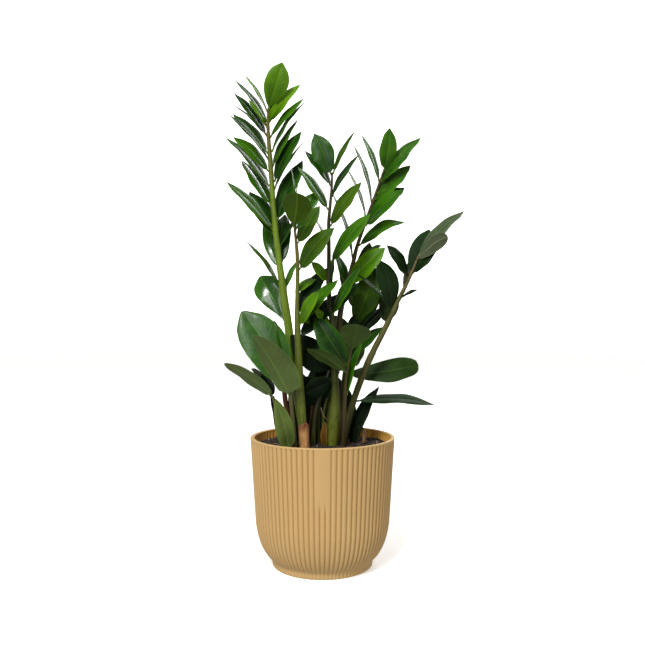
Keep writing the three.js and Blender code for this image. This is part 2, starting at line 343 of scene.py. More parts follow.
def scattered_bits(name, count, size, flatness, length, lift, seed, material):
    """Loose bits on the soil: each a squashed, dented little lump, all in one mesh.

    size is the widths they lie between. lift is how much of its half width a bit stands above the soil.
    """
    draw = random.Random(seed)
    golden = (1 + math.sqrt(5)) / 2
    corners = [Vector(c).normalized() for c in (
        (-1, golden, 0), (1, golden, 0), (-1, -golden, 0), (1, -golden, 0),
        (0, -1, golden), (0, 1, golden), (0, -1, -golden), (0, 1, -golden),
        (golden, 0, -1), (golden, 0, 1), (-golden, 0, -1), (-golden, 0, 1))]
    sides = [(0, 11, 5), (0, 5, 1), (0, 1, 7), (0, 7, 10), (0, 10, 11), (1, 5, 9), (5, 11, 4),
             (11, 10, 2), (10, 7, 6), (7, 1, 8), (3, 9, 4), (3, 4, 2), (3, 2, 6), (3, 6, 8),
             (3, 8, 9), (4, 9, 5), (2, 4, 11), (6, 2, 10), (8, 6, 7), (9, 8, 1)]
    points = []
    faces = []
    tones = []
    for _ in range(count):
        radius = (soil_radius - BARE_EDGE) * math.sqrt(draw.random())
        turn = draw.uniform(0, 2 * math.pi)
        x = radius * math.cos(turn)
        y = radius * math.sin(turn)
        half = draw.uniform(*size) / 2
        spin = draw.uniform(0, math.pi)
        tilt = draw.uniform(-0.5, 0.5)
        centre = Vector((x, y, soil_height(x, y) + half * lift))
        tone = draw.random()
        first = len(points)
        for corner in corners:
            dented = corner * half * draw.uniform(0.72, 1.12)
            dented.x *= length
            dented.z = dented.z * flatness + dented.x * tilt * 0.4
            turned = Vector((dented.x * math.cos(spin) - dented.y * math.sin(spin),
                             dented.x * math.sin(spin) + dented.y * math.cos(spin), dented.z))
            points.append(tuple(centre + turned))
            tones.append(tone)
        faces.extend(tuple(first + i for i in side) for side in sides)
    made = mesh_object(name, points, faces, [material], attributes={"tone": tones})
    made.data.polygons.foreach_set("use_smooth", [False] * len(faces))
    return made


def soil_material(name, dark, light, roughness, grain_scale):
    made, wire, shader = new_material(name)
    tone = wire.attribute("tone")
    grain = noise_wire(wire, grain_scale, 4, 0.65)
    patches = noise_wire(wire, 70, 3)
    share = grain.band(0.35, 0.7) * 0.55 + patches.band(0.4, 0.65) * 0.25 + tone * 0.35
    connect(shader, {
        "Base Color": share.mix(dark, light),
        "Roughness": roughness + grain * 0.15,
        "Normal": bump_wire(wire, grain, 0.0006, 0.9),
    })
    return made


soil_bed = build_soil(soil_material("soil_peat", rgb(12, 8, 6), rgb(42, 31, 24), 0.78, 900))
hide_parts("soil")
crumb_dark = soil_material("soil_crumb", rgb(12, 8, 6), rgb(50, 37, 29), 0.8, 1400)
bark_brown = soil_material("soil_bark", rgb(42, 28, 18), rgb(104, 74, 50), 0.75, 1100)
grain_pale = soil_material("soil_pumice", rgb(128, 100, 92), rgb(206, 182, 172), 0.85, 1600)
for loose in (
    scattered_bits("soil_crumbs", 2600, (1.2 * MM, 4.2 * MM), 0.8, 1.2, 0.35, 11, crumb_dark),
    scattered_bits("bark_chips", 230, (2.0 * MM, 5.0 * MM), 0.35, 2.0, 0.4, 12, bark_brown),
    scattered_bits("pumice_grains", 240, (0.9 * MM, 2.4 * MM), 0.9, 1.1, 0.6, 13, grain_pale),
):
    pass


# The rhizomes: two clumps of pale brown tubers that store the plant's water under the soil. The stems grow
# out of their tops.
def rhizome_skin():
    made, wire, shader = new_material("rhizome_skin")
    rings = noise_wire(wire, 60, 3, 0.6, (1, 1, 9))
    spots = noise_wire(wire, 420, 2)
    tint = rings.band(0.35, 0.65).mix(rgb(120, 98, 58), rgb(168, 146, 98))
    connect(shader, {
        "Base Color": (spots.band(0.58, 0.7) * 0.6).mix(tint, rgb(78, 58, 36)),
        "Roughness": 0.6 + rings * 0.15,
        "Normal": bump_wire(wire, rings, 0.0005, 0.6),
    })
    return made


skin = rhizome_skin()
for node in ("rhizome_left", "rhizome_right"):
    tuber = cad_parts[node]
    tuber.data.materials.clear()
    tuber.data.materials.append(skin)


# The stems: smooth fleshy stalks, thick and swollen at the foot, thin at the top, with a slight joint where
# each leaf grows out. They are green or olive, mottled near the soil and browner towards the top.
STEM_SIDES = 20
STEM_RING_EVERY = 2.5 * MM
STEM_UNEVENNESS = 0.055
JOINT_SWELLING = 0.1
JOINT_LENGTH = 2.2 * MM
FOOT_DOME = 0.3
TOP_DOME = 0.5
TORN_HOLLOW = -0.8
MOTTLED_HEIGHT = 90 * MM


def rings_of(node, ring_size):
    """A CAD bar's or leaf's rings of points, between its two end points, read off its mesh."""
    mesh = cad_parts[node].data
    numbers = {}
    welded = [numbers.setdefault(tuple(round(c, 6) for c in vertex.co), len(numbers))
              for vertex in mesh.vertices]
    places = np.array(list(numbers))
    near = [set() for _ in places]
    for edge in mesh.edges:
        a, b = (welded[i] for i in edge.vertices)
        if a != b:
            near[a].add(b)
            near[b].add(a)
    start = next(i for i, others in enumerate(near) if len(others) == ring_size)
    layers = [[start]]
    seen = {start}
    while True:
        layer = {other for i in layers[-1] for other in near[i]} - seen
        if not layer:
            break
        seen |= layer
        layers.append(sorted(layer))
    return [places[layer] for layer in layers]


def curve_through(values, at):
    """Smooth values between evenly spaced ones; at runs from 0, the first, to 1, the last."""
    values = np.asarray(values, float)
    spot = np.clip(at, 0, 1) * (len(values) - 1)
    low = np.minimum(spot.astype(int), len(values) - 2)
    share = (spot - low).reshape(-1, *[1] * (values.ndim - 1))
    padded = np.concatenate([2 * values[:1] - values[1:2], values, 2 * values[-1:] - values[-2:-1]])
    a, b, c, d = (padded[low + i] for i in range(4))
    return b + 0.5 * share * (c - a + share * (2 * a - 5 * b + 4 * c - d + share * (3 * (b - c) + d - a)))


def unit(vectors):
    """The same directions with a length of one."""
    return vectors / np.maximum(np.linalg.norm(vectors, axis=-1, keepdims=True), 1e-12)


def stem_line(node):
    """A CAD stem's middle line and radius, from its foot up."""
    layers = rings_of(node, 8)[1:-1]
    centres = np.array([layer.mean(0) for layer in layers])
    radii = np.array([np.linalg.norm(layer - layer.mean(0), axis=1).mean() for layer in layers])
    if centres[0][2] > centres[-1][2]:
        centres = centres[::-1]
        radii = radii[::-1]
    return centres, radii


def bar_mesh(name, centres, radii, material, joints=(), seed=0, ragged=0.0):
    """A closed round bar along the centres, a little uneven, swollen at the heights in joints.

    ragged is how far its torn top's edge strays up or down; 0 is a whole, domed top.
    """
    length = np.linalg.norm(np.diff(centres, axis=0), axis=1).sum()
    count = max(8, int(length / STEM_RING_EVERY))
    at = np.linspace(0, 1, count)
    line = curve_through(centres, at)
    thick = curve_through(radii, at)
    along = unit(np.gradient(line, axis=0))
    side = unit(np.cross(along, (0, 1, 0)))
    front = np.cross(side, along)
    for height in joints:
        thick = thick * (1 + JOINT_SWELLING * np.exp(-((line[:, 2] - height) / JOINT_LENGTH) ** 2))
    turns = np.arange(STEM_SIDES) / STEM_SIDES * 2 * math.pi
    points = []
    for i in range(count):
        for turn in turns:
            facing = side[i] * math.cos(turn) + front[i] * math.sin(turn)
            uneven = noise.noise(Vector(line[i]) * 45 + Vector(facing) * 0.7 + Vector((seed, 0, 0)))
            points.append(line[i] + facing * thick[i] * (1 + STEM_UNEVENNESS * uneven))
    if ragged:
        draw = random.Random(seed)
        for i in range(STEM_SIDES):
            points[-1 - i] = points[-1 - i] + along[-1] * draw.uniform(-ragged, ragged)
    points.append(line[0] - along[0] * thick[0] * FOOT_DOME)
    points.append(line[-1] + along[-1] * thick[-1] * (TORN_HOLLOW if ragged else TOP_DOME))
    return mesh_object(name, points, closed_faces(count, STEM_SIDES), [material])


def upright_places(wire):
    """Where a point lies, and its height alone."""
    place = wire.node("TexCoord", output="Object")
    return place, wire.node("SeparateXYZ", {}, {"Vector": place}, "Z")


def stem_material(name, foot, middle, top, low, high, blotch=0.5):
    """Fleshy stem skin that changes colour between two heights, with darker flecks near the soil."""
    made, wire, shader = new_material(name)
    place, height = upright_places(wire)
    streaks = noise_wire(wire, 260, 3, 0.55, (1, 1, 0.07), place)
    flecks = noise_wire(wire, 330, 2, 0.5, (1, 1, 0.4), place)
    clouds = noise_wire(wire, 38, 2, 0.5, (1, 1, 0.5), place)
    rise = height.band(low, low + (high - low) * 0.3)
    tint = rise.mix(foot, middle)
    tint = height.band(low + (high - low) * 0.72, high).mix(tint, top)
    tint = (streaks.band(0.42, 0.68) * 0.35).mix(tint, rgb(60, 62, 28))
    near_soil = 1 - height.band(low, low + MOTTLED_HEIGHT)
    tint = (flecks.band(0.54, 0.64) * (near_soil * 0.5 + 0.3) * blotch).mix(tint, rgb(34, 34, 18))
    tint = (clouds.band(0.5, 0.75) * 0.35).mix(tint, rgb(66, 48, 30))
    connect(shader, {
        "Base Color": tint,
        "Roughness": 0.36 + streaks * 0.2,
        "Normal": bump_wire(wire, streaks + flecks * 0.5, 0.0003, 0.5),
        "Coat Weight": 0.05,
        "Coat Roughness": 0.25,
        "Specular IOR Level": 0.25,
    })
    return made


# Each stem: its foot's, middle's and top's colour, and how blotchy it is.
STEM_COLOURS = {
    "tall": ((92, 110, 30), (104, 130, 32), (98, 80, 38), 0.5),
    "front": ((86, 100, 32), (86, 96, 34), (98, 76, 44), 0.5),
    "centre": ((88, 96, 28), (42, 48, 14), (42, 38, 14), 0.8),
    "right": ((70, 70, 34), (74, 68, 36), (64, 58, 30), 0.6),
    "leaning": ((46, 44, 22), (78, 78, 36), (100, 84, 52), 0.6),
    "back": ((60, 62, 30), (70, 72, 34), (62, 56, 30), 0.5),
    "short_front": ((52, 46, 24), (62, 54, 30), (68, 64, 32), 0.5),
    "short_left": ((84, 84, 44), (94, 98, 56), (96, 102, 60), 0.4),
    "low_left": ((50, 48, 28), (60, 58, 32), (84, 84, 50), 0.5),
    "thin": ((70, 76, 34), (44, 46, 20), (30, 34, 16), 0.6),
    "dead": ((76, 38, 22), (92, 44, 28), (112, 58, 34), 0.9),
}

# Leaves on each stem, besides those of the frame: the height where the leaf grows out, its reach from stalk
# to point, its width, all in millimetres, how far its upper face is turned from the front, in degrees, and
# its finish where that isn't its stem's usual one.
SMALL_LEAVES = {
    "tall": [
        (556, (12, -20, 15), 9, -30, "young"), (569, (-28, -4, 44), 13, 66, "young"),
        (556, (-41, 6, 54), 24, 64), (548, (-22, -14, 30), 14, 60, "young"),
        (538, (-42, 4, 39), 20, 74), (508, (-47, -10, 52), 24, 72),
        (535, (43, -10, 46), 22, -58, "green"), (417, (-58, -6, 60), 30, 64, "green"),
        (499, (32, 2, 60), 24, -58, "green"), (470, (40, 14, 66), 20, -66, "green"),
        (348, (-41, -8, 54), 22, 74, "olive"), (344, (16, 10, 37), 18, -60, "green"),
        (396, (38, 26, 58), 30, -70), (560, (22, 14, 44), 22, -120),
    ],
    "front": [
        (418, (-4, 8, 75), 9, 80), (418, (9, 6, 74), 9, -78), (413, (27, 14, 50), 30, -30, "waxed"),
        (312, (36, 34, 58), 24, -30, "deep"), (282, (52, 34, 56), 26, -36, "deep"),
        (338, (22, 30, 20), 15, -40, "young"), (306, (34, 34, -12), 14, -40, "young"),
    ],
    "centre": [
        (471, (-32, 4, 44), 24, 58), (486, (27, -6, 51), 15, -58, "olive"), (458, (33, 4, 52), 26, -70),
        (352, (-19, -12, 22), 16, 42, "young"), (311, (33, -14, 57), 26, -60, "green"),
        (338, (5, 24, 46), 18, -60), (314, (32, 10, 36), 24, -56), (296, (-21, -8, 22), 14, 44, "young"),
        (402, (-34, 14, 50), 26, 80), (228, (-36, -6, -16), 26, -15, "shade"),
        (250, (-24, 10, 22), 22, 30, "deep"),
    ],
    "right": [
        (482, (35, -10, 33), 24, -58), (466, (44, 8, 38), 28, -52), (458, (40, -8, 31), 28, -52),
        (446, (43, 10, 29), 30, -50), (482, (-22, 6, 61), 19, 60), (455, (-23, 0, 73), 17, 68),
        (435, (-26, 8, 68), 15, 68), (384, (-26, 0, 82), 18, 70), (351, (-11, 10, 37), 18, 50),
        (372, (38, 30, 30), 26, -100),
    ],
    "leaning": [
        (362, (30, -8, 34), 22, -50), (315, (-45, -20, 45), 26, 72, "matt"), (332, (18, -14, 8), 14, -70),
        (340, (16, 34, 42), 26, -120), (300, (4, 42, 46), 28, 150),
    ],
    "back": [
        (290, (37, -6, 51), 30, -48), (274, (48, 4, 49), 28, -64), (279, (4, -18, 31), 18, -38),
        (350, (8, 18, 56), 26, 175), (318, (-22, 22, 50), 28, 130), (262, (-20, 34, 48), 32, 150),
        (244, (26, 42, 40), 34, -150), (254, (42, -8, 40), 22, -44, "dark"),
    ],
    "short_front": [(212, (19, 4, 64), 18, -62)],
    "low_left": [(208, (-14, 20, 27), 20, 50), (206, (-30, 34, 34), 28, 120)],
    "short_left": [(216, (-18, 12, 87), 26, 60)],
    "thin": [
        (238, (-47, -6, 46), 40, 20), (234, (12, 14, 52), 30, -30), (205, (-28, 18, 34), 26, 100),
        (214, (-28, -2, 14), 30, -28), (206, (14, -4, 24), 26, -30), (196, (-16, -2, 34), 30, 14),
        (216, (10, 16, 40), 32, -20),
    ],
}

stem_lines = {}
for stem, (*colours, blotch) in STEM_COLOURS.items():
    centres, radii = stem_line(f"stem_{stem}")
    stem_lines[stem] = (centres, radii)
    above_soil = centres[centres[:, 2] > soil_edge]
    skin = stem_material(f"stem_skin_{stem}", *(rgb(*colour) for colour in colours),
                         float(above_soil[0][2]), float(centres[-1][2]), blotch)
    joints = [height * MM for height, *_ in SMALL_LEAVES.get(stem, ())]
    bar = bar_mesh(f"stem_{stem}_skin", centres, radii, skin, joints, len(stem_lines),
                   ragged=2.5 * MM if stem == "dead" else 0.0)
    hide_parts(f"stem_{stem}")
    "dead_stem" if stem == "dead" else "stem_green"


# The leaves: thick waxy blades with a sunken midrib above and a ridge below, on very short stalks. Their
# upper faces are glossy; their undersides are paler and matt.
BLADE_ROWS = 30
ACROSS = np.array([-1, -0.97, -0.89, -0.76, -0.58, -0.38, -0.2, -0.09, -0.03])
ACROSS = np.concatenate([ACROSS, [0], -ACROSS[::-1]])
BLADE_THICKNESS = 0.75 * MM
STALK_RADIUS = 1.0 * MM
STALK_IN_STEM = 1.2 * MM
GROOVE_DEPTH = 0.3 * MM
GROOVE_WIDTH = 0.7 * MM
KEEL_HEIGHT = 0.75 * MM
KEEL_WIDTH = 0.8 * MM
LEAF_STATIONS = 10
LEAF_ARCH = 0.05
EDGE_RISE = 0.16
START_IN_STEM = 0.9


class Blade(NamedTuple):
    """A leaf's middle line, its sideways and upward directions, half widths and how far its edges rise."""
    centre: np.ndarray
    side: np.ndarray
    up: np.ndarray
    half: np.ndarray
    rise: np.ndarray


def nearest_stem(point):
    """How far the point is from the closest stem's middle line."""
    return min(np.linalg.norm(centres - point, axis=1).min() for centres, _ in stem_lines.values())


def blade_of_node(node):
    """Reads a blade off a CAD leaf, whose rings each have two edge points and two midrib points."""
    layers = rings_of(node, 4)
    if nearest_stem(layers[0][0]) > nearest_stem(layers[-1][0]):
        layers = layers[::-1]
    centre = [layers[0][0]]
    side = [None]
    up = [None]
    half = [0.0]
    rise = [0.0]
    for layer in layers[1:-1]:
        # the two points furthest apart are the edges, and the other two lie on the midrib
        width, a, b = max((np.linalg.norm(layer[a] - layer[b]), a, b) for a in range(4) for b in range(a))
        edges = (layer[a] + layer[b]) / 2
        mids = [layer[i] for i in range(4) if i not in (a, b)]
        under, over = sorted(mids, key=lambda p: -np.linalg.norm(p - edges))
        sideways = unit(layer[a] - layer[b])
        along = layers[-1][0] - layers[0][0]
        if side[-1] is not None:
            sideways = sideways * (1 if sideways @ side[-1] > 0 else -1)
        upwards = unit(np.cross(sideways, along))
        if upwards @ (over - under) < 0:
            if side[-1] is None:
                sideways = -sideways
            upwards = -upwards
        middle = (under + over) / 2
        centre.append(middle)
        side.append(sideways)
        up.append(upwards)
        half.append(width / 2)
        rise.append((edges - middle) @ upwards)
    centre.append(layers[-1][0])
    side[0] = side[1]
    up[0] = up[1]
    return Blade(np.array(centre), np.array([*side, side[-1]]), np.array([*up, up[-1]]),
                 np.array([*half, 0.0]), np.array([*rise, 0.0]))


def blade_on_stem(stem, height, reach, width, turn):
    """Lays out a leaf that grows out of a stem at a height; sizes are in millimetres, the turn in degrees."""
    centres, radii = stem_lines[stem]
    foot = np.array([np.interp(height * MM, centres[:, 2], centres[:, axis]) for axis in range(3)])
    radius = np.interp(height * MM, centres[:, 2], radii)
    out = unit(np.array([reach[0], reach[1], 0]))
    return blade_from((foot + out * radius * START_IN_STEM) / MM, reach, width, turn)


def blade_from(base, reach, width, turn):
    """Lays out a leaf from the place where it starts, in the same units: arched, widest in its middle."""
    base = np.array(base) * MM
    reach = np.array(reach) * MM
    along = unit(reach)
    up = np.array([0.0, -1.0, 0.0])
    up = unit(up - along * (up @ along))
    turn = math.radians(turn)
    up = up * math.cos(turn) + np.cross(along, up) * math.sin(turn)
    side = np.cross(along, up)
    share = np.linspace(0, 1, LEAF_STATIONS)
    half = np.sin(math.pi * share**0.95) ** 0.9 * width * MM / 2
    half[[0, -1]] = 0
    arch = LEAF_ARCH * np.linalg.norm(reach) * np.sin(math.pi * share)
    centre = base + share[:, None] * reach + arch[:, None] * up
    return Blade(centre, np.repeat(side[None], LEAF_STATIONS, 0), np.repeat(up[None], LEAF_STATIONS, 0),
                 half, EDGE_RISE * half)


def sheet_faces(rows, columns):
    """Faces round a thin sheet between two grids of points, and a 1 for each face on the second grid."""
    second = rows * columns
    faces = []
    kinds = []
    for row in range(rows - 1):
        left = row * columns
        right = left + columns - 1
        for a in range(left, right):
            b = second + a
            faces.append((a, a + 1, a + 1 + columns, a + columns))
            faces.append((b + columns, b + 1 + columns, b + 1, b))
            kinds.extend((0, 1))
        faces.append((left, left + columns, left + columns + second, left + second))
        faces.append((right + second, right + columns + second, right + columns, right))
        kinds.extend((0, 0))
    for a in range(columns - 1):
        b = a + second - columns
        faces.append((a, a + second, a + 1 + second, a + 1))
        faces.append((b + 1, b + 1 + second, b + second, b))
        kinds.extend((0, 0))
    return faces, kinds


def half_widths(blade, share, full, skew, blunt):
    """Half the leaf's width at each share of its length; towards the stem it is the stalk's radius."""
    half = np.maximum(curve_through(blade.half, share**skew), 0)
    widest = half.max()
    power = np.where(share < share[half.argmax()], full[0], full[1])
    half = widest * (half / widest) ** power * smoothstep(0.0, 0.09, share)
    if not blunt:
        half = half * (1 - 0.22 * smoothstep(0.84, 0.97, share))
    stalk = STALK_RADIUS * (1 - smoothstep(0.04, 0.12, share))
    return np.maximum(half, stalk) + 0.06 * MM, stalk


def blade_surface(blade, seed, hook=0.0, wave=1.0, full=(0.8, 0.72), skew=1.0, blunt=False, bend=0.0,
                  uneven=0.0):
    """The points of one leaf's closed skin, and how far along and across the leaf each lies.

    hook is how far its point curls back, and bend how far its middle line bows sideways, as shares of its
    length. wave is how strongly its edges ripple.
    full says how full the leaf is towards its stalk and towards its point: less than 1 is fuller.
    skew moves its widest place: below 1 towards the stalk, above 1 towards the point.
    uneven is how much wider one half is than it would be, and the other narrower.
    """
    draw = random.Random(seed)
    # the rows of points stand closer together near both ends
    share = 0.5 - 0.5 * np.cos(np.linspace(0.02, 1, BLADE_ROWS) * math.pi)
    share = 0.35 * np.linspace(0, 1, BLADE_ROWS) + 0.65 * share
    centre = curve_through(blade.centre, share)
    side = unit(curve_through(blade.side, share))
    up = unit(curve_through(blade.up, share))
    length = np.linalg.norm(np.diff(centre, axis=0), axis=1).sum()
    half, stalk = half_widths(blade, share, full, skew, blunt)
    forward = unit(np.gradient(centre, axis=0))
    centre[0] = centre[0] - forward[0] * STALK_IN_STEM
    centre = centre - up * (hook * length * smoothstep(0.6, 1, share) ** 2)[:, None]
    phase = draw.uniform(0, 6.28)
    ripples = draw.uniform(1.6, 2.6)
    twist = draw.uniform(-0.14, 0.14)
    bow = bend + draw.uniform(-0.03, 0.03)
    centre = centre + side * (bow * length * np.sin(math.pi * share))[:, None]

    # from here on a row of the arrays runs across the leaf
    rise, half, stalk, along = (values[:, None] for values in (
        curve_through(blade.rise, share), half, stalk, share))
    v = ACROSS[None, :]
    away = np.abs(v)
    ripple = np.sin(2 * math.pi * ripples * along + phase + np.sign(v) * 0.8)
    height = 0.4 * rise * away**1.5
    height = height + half * (0.05 * np.sin(math.pi * away) - 0.05 * away**4)
    height = height + wave * half * 0.045 * ripple * away**2 * np.sin(math.pi * along)
    height = height + half * v * twist * along
    spread = half * v * (1 - 0.02 * (1 + ripple) * away) * (1 + uneven * np.sign(v))
    groove = GROOVE_DEPTH * np.exp(-(v * half / GROOVE_WIDTH) ** 2) * (1 - along) ** 0.5
    groove = groove * smoothstep(0.06, 0.16, along)
    keel = KEEL_HEIGHT * np.exp(-(v * half / KEEL_WIDTH) ** 2) * (1 - along) ** 0.7
    body = BLADE_THICKNESS * (1 - 0.55 * away**2) * (0.45 + 0.55 * (1 - along))
    body = body + stalk * 0.9 * (1 - away**2)
    flat = centre[:, None, :] + side[:, None, :] * spread[..., None]
    over = flat + up[:, None, :] * (height + body / 2 - groove)[..., None]
    under = flat + up[:, None, :] * (height - body / 2 - keel)[..., None]
    points = np.concatenate([over.reshape(-1, 3), under.reshape(-1, 3)])
    return points, np.tile(np.repeat(share, len(ACROSS)), 2), np.tile(ACROSS, BLADE_ROWS * 2)


def leaf_object(name, blades, finish, seed, **shape):
    """One mesh of one or more leaves, upper faces and undersides each in their own material."""
    sides, kinds = sheet_faces(BLADE_ROWS, len(ACROSS))
    points = []
    faces = []
    values = {"along": [], "across": [], "tone": []}
    draw = random.Random(seed)
    for place, blade in enumerate(blades):
        skin, along, across = blade_surface(blade, seed * 100 + place, **shape)
        points.append(skin)
        faces.extend(tuple(i + place * len(skin) for i in side) for side in sides)
        values["along"].append(along)
        values["across"].append(across)
        values["tone"].append(np.full(len(skin), draw.random()))
    values = {key: np.concatenate(parts) for key, parts in values.items()}
    kinds = kinds * len(blades)
    made = mesh_object(name, np.concatenate(points), faces, LEAF_FINISHES[finish], kinds, values)
    return made


def leaf_places(wire):
    """How far along and across its leaf a point lies, and its leaf's tone, each from 0 to 1."""
    return wire.attribute("along"), wire.attribute("across").math("ABSOLUTE"), wire.attribute("tone")


def side_veins(along, across, clouds):
    """Waves whose crests are the veins that slant from the midrib towards the point."""
    return (along * 62 - across * 15 + clouds * 4).math("SINE")


def upper_material(name, deep, light, rib, gloss, coat, crinkle):
    """A leaf's waxy upper face: cloudy green with faint side veins, a pale midrib and a pale edge, darker
    towards its stalk and middle, partly as painted shade.
    """
    made, wire, shader = new_material(name)
    along, across, tone = leaf_places(wire)
    clouds = noise_wire(wire, 55, 3, 0.55)
    pores = noise_wire(wire, 1500, 2, 0.6)
    creases = noise_wire(wire, 260, 3, 0.65)
    veins = side_veins(along, across, clouds).band(0.55, 1.0)
    veins = veins * (1 - across.band(0.7, 0.95)) * across.band(0.04, 0.14)
    tint = (clouds.band(0.35, 0.7) * 0.5 + tone * 0.6 - 0.1).mix(deep, light)
    # Partly painted shade, partly the leaf's own darker base: the colour darkens to half the deep green
    # towards the stalk and the midrib, where neighbouring leaves shade it.
    shade = tuple(c * 0.5 for c in deep[:3]) + (1,)
    tint = ((1 - along.band(0.1, 0.62)) * (1 - across * 0.4) * 0.6).mix(tint, shade)
    tint = (across.band(0.4, 0.95) * 0.55).mix(tint, light)
    tint = (veins * clouds.band(0.3, 0.7) * 0.1).mix(tint, rib)
    midrib = (1 - across.band(0.015, 0.06)) * (1 - along.band(0.7, 1.0) * 0.7)
    tint = (midrib * 0.32).mix(tint, rib)
    tint = ((1 - along.band(0.0, 0.07)) * 0.8).mix(tint, rib)
    tint = (across.band(0.955, 0.99) * 0.45).mix(tint, rib)
    relief = veins * 0.3 + pores * 0.08 + clouds * 0.8 + creases * crinkle
    connect(shader, {
        "Base Color": tint,
        "Roughness": gloss + clouds * 0.14 + pores * 0.05,
        "Normal": bump_wire(wire, relief, 0.0005, 0.6),
        "Coat Weight": (creases.band(0.4, 0.6) * 0.5 + 0.5) * coat,
        "Coat Roughness": 0.17,
        "Specular IOR Level": 0.15,
    })
    return made


def under_material(name, pale, rib):
    """A leaf's matt underside, paler and greyer, with its raised midrib."""
    made, wire, shader = new_material(name)
    along, across, tone = leaf_places(wire)
    clouds = noise_wire(wire, 60, 3, 0.55)
    pores = noise_wire(wire, 1300, 2, 0.6)
    veins = side_veins(along, across, clouds).band(0.5, 1.0) * across.band(0.05, 0.2)
    dark = tuple(c * 0.72 for c in pale[:3]) + (1,)
    tint = (clouds.band(0.3, 0.7) * 0.5 + tone * 0.4).mix(dark, pale)
    tint = (veins * 0.3).mix(tint, dark)
    tint = (pores.band(0.5, 0.7) * 0.25).mix(tint, rib)
    midrib = 1 - across.band(0.02, 0.1)
    tint = (midrib * 0.55).mix(tint, rib)
    tint = (across.band(0.93, 0.98) * 0.6).mix(tint, rib)
    connect(shader, {
        "Base Color": tint,
        "Roughness": 0.5 + clouds * 0.15,
        "Normal": bump_wire(wire, veins * 0.3 + pores * 0.25, 0.0004, 0.5),
        "Specular IOR Level": 0.15,
    })
    return made


def leaf_finish(name, deep, light, rib, pale, gloss=0.3, coat=0.04, crinkle=0.2):
    """A leaf's two materials: its upper face's and its underside's."""
    return [upper_material(f"leaf_{name}_upper", rgb(*deep), rgb(*light), rgb(*rib), gloss, coat, crinkle),
            under_material(f"leaf_{name}_under", rgb(*pale), rgb(*rib))]


# Each finish: its darker and lighter green, its midrib and its underside; then how rough the upper face is,
# how thick its wax and how finely crinkled.
LEAF_FINISHES = {name: leaf_finish(name, *looks) for name, looks in {
    "young": ((58, 98, 2), (88, 132, 6), (130, 164, 36), (80, 112, 14)),
    "green": ((28, 68, 2), (60, 106, 4), (108, 146, 30), (62, 94, 18), 0.36),
    "waxed": ((30, 72, 3), (52, 100, 5), (108, 146, 34), (62, 94, 18), 0.12, 1.0, 2.6),
    "dark": ((14, 44, 2), (40, 80, 4), (80, 114, 24), (56, 82, 20), 0.36),
    "polished": ((20, 52, 3), (44, 86, 5), (94, 130, 30), (56, 82, 20), 0.16, 0.6, 2.6),
    "deep": ((11, 30, 7), (20, 44, 10), (48, 74, 26), (52, 66, 34)),
    "olive": ((42, 70, 6), (62, 92, 12), (108, 134, 42), (70, 98, 22), 0.38, 0),
    "blue": ((32, 68, 16), (54, 92, 30), (98, 132, 60), (94, 112, 64), 0.3, 0.2, 1.4),
    "pale": ((76, 92, 42), (98, 116, 58), (128, 144, 88), (84, 98, 54), 0.42, 0),
    "matt": ((12, 34, 6), (22, 50, 10), (60, 90, 30), (52, 70, 34), 0.6, 0),
    "straw": ((76, 52, 12), (116, 86, 26), (90, 66, 24), (100, 76, 26), 0.5, 0),
    "moss": ((22, 42, 8), (38, 62, 16), (84, 108, 50), (78, 100, 54), 0.5, 0),
    # Very dark, rough leaves for the crowded low middle: their darkness is partly painted shade.
    "shade": ((8, 22, 5), (14, 34, 7), (34, 58, 20), (36, 50, 24), 0.65, 0),
    # Grey-green leaves of the leaning stem: their pale grey is partly a painted sheen.
    "grey": ((62, 78, 50), (88, 102, 76), (120, 134, 100), (76, 84, 62), 0.36, 0.1),
}.items()}

# The frame's leaves, in order up each stem: which finish each has.
FRAME_FINISHES = {
    "tall": ["young", "young", "dark", "green", "green", "green", "green", "waxed", "dark", "dark", "dark",
             "waxed", "polished", "waxed"],
    "front": ["olive", "olive", "olive", "young", "green"],
    "centre": ["dark", "green", "olive", "green"],
    "right": ["green", "green", "waxed", "green", "young"],
    "leaning": ["deep", "matt", "grey", "grey", "deep", "matt"],
    "back": ["moss", "olive"],
    "short_front": ["moss", "moss", "dark"],
    "short_left": ["blue", "blue"],
    "low_left": ["blue"],
}
# The usual finish of each stem's other leaves.
# The low-left and thin stems' leaves take that darkest finish, whose darkness is partly painted shade.
SMALL_FINISH = {"tall": "dark", "front": "green", "centre": "dark", "right": "green", "leaning": "deep",
                "back": "deep", "short_front": "green", "low_left": "shade", "short_left": "blue",
                "thin": "shade"}
# Leaves that are fuller, blunter or more bent than the plant's usual ones.
ROUND_END = {"full": (0.75, 0.5), "blunt": True}
USUAL_SHAPE = {"hook": 0.02}
LEAF_SHAPES = {
    "leaf_tall_14": {"hook": 0.06, "full": (0.8, 0.55), "skew": 1.3, "wave": 2.2},
    "leaf_right_4": {"hook": 0.14},
    "leaf_back_1": {"hook": 0.06, "full": (0.5, 0.35), "skew": 1.2, "blunt": True, "bend": 0.06},
    "leaf_front_1": ROUND_END,
    "leaf_short_front_1": ROUND_END,
    "leaf_leaning_5": {"full": (0.7, 0.6), "bend": 0.08},
    "leaf_centre_1": {"hook": 0.03, "full": (0.8, 0.95), "skew": 0.88, "wave": 2.2},
    "leaf_leaning_4": {**ROUND_END, "bend": 0.13},
    "leaf_short_left_1": {"full": (0.7, 0.6)},
    "leaf_short_left_2": {"full": (0.6, 0.55), "skew": 0.72, "blunt": True, "uneven": -0.34},
    "leaf_low_left_1": {"full": (0.6, 0.6), "skew": 0.82, "blunt": True},
    "leaf_from_soil": {"full": (0.45, 0.8), "skew": 0.8, "blunt": True},
}
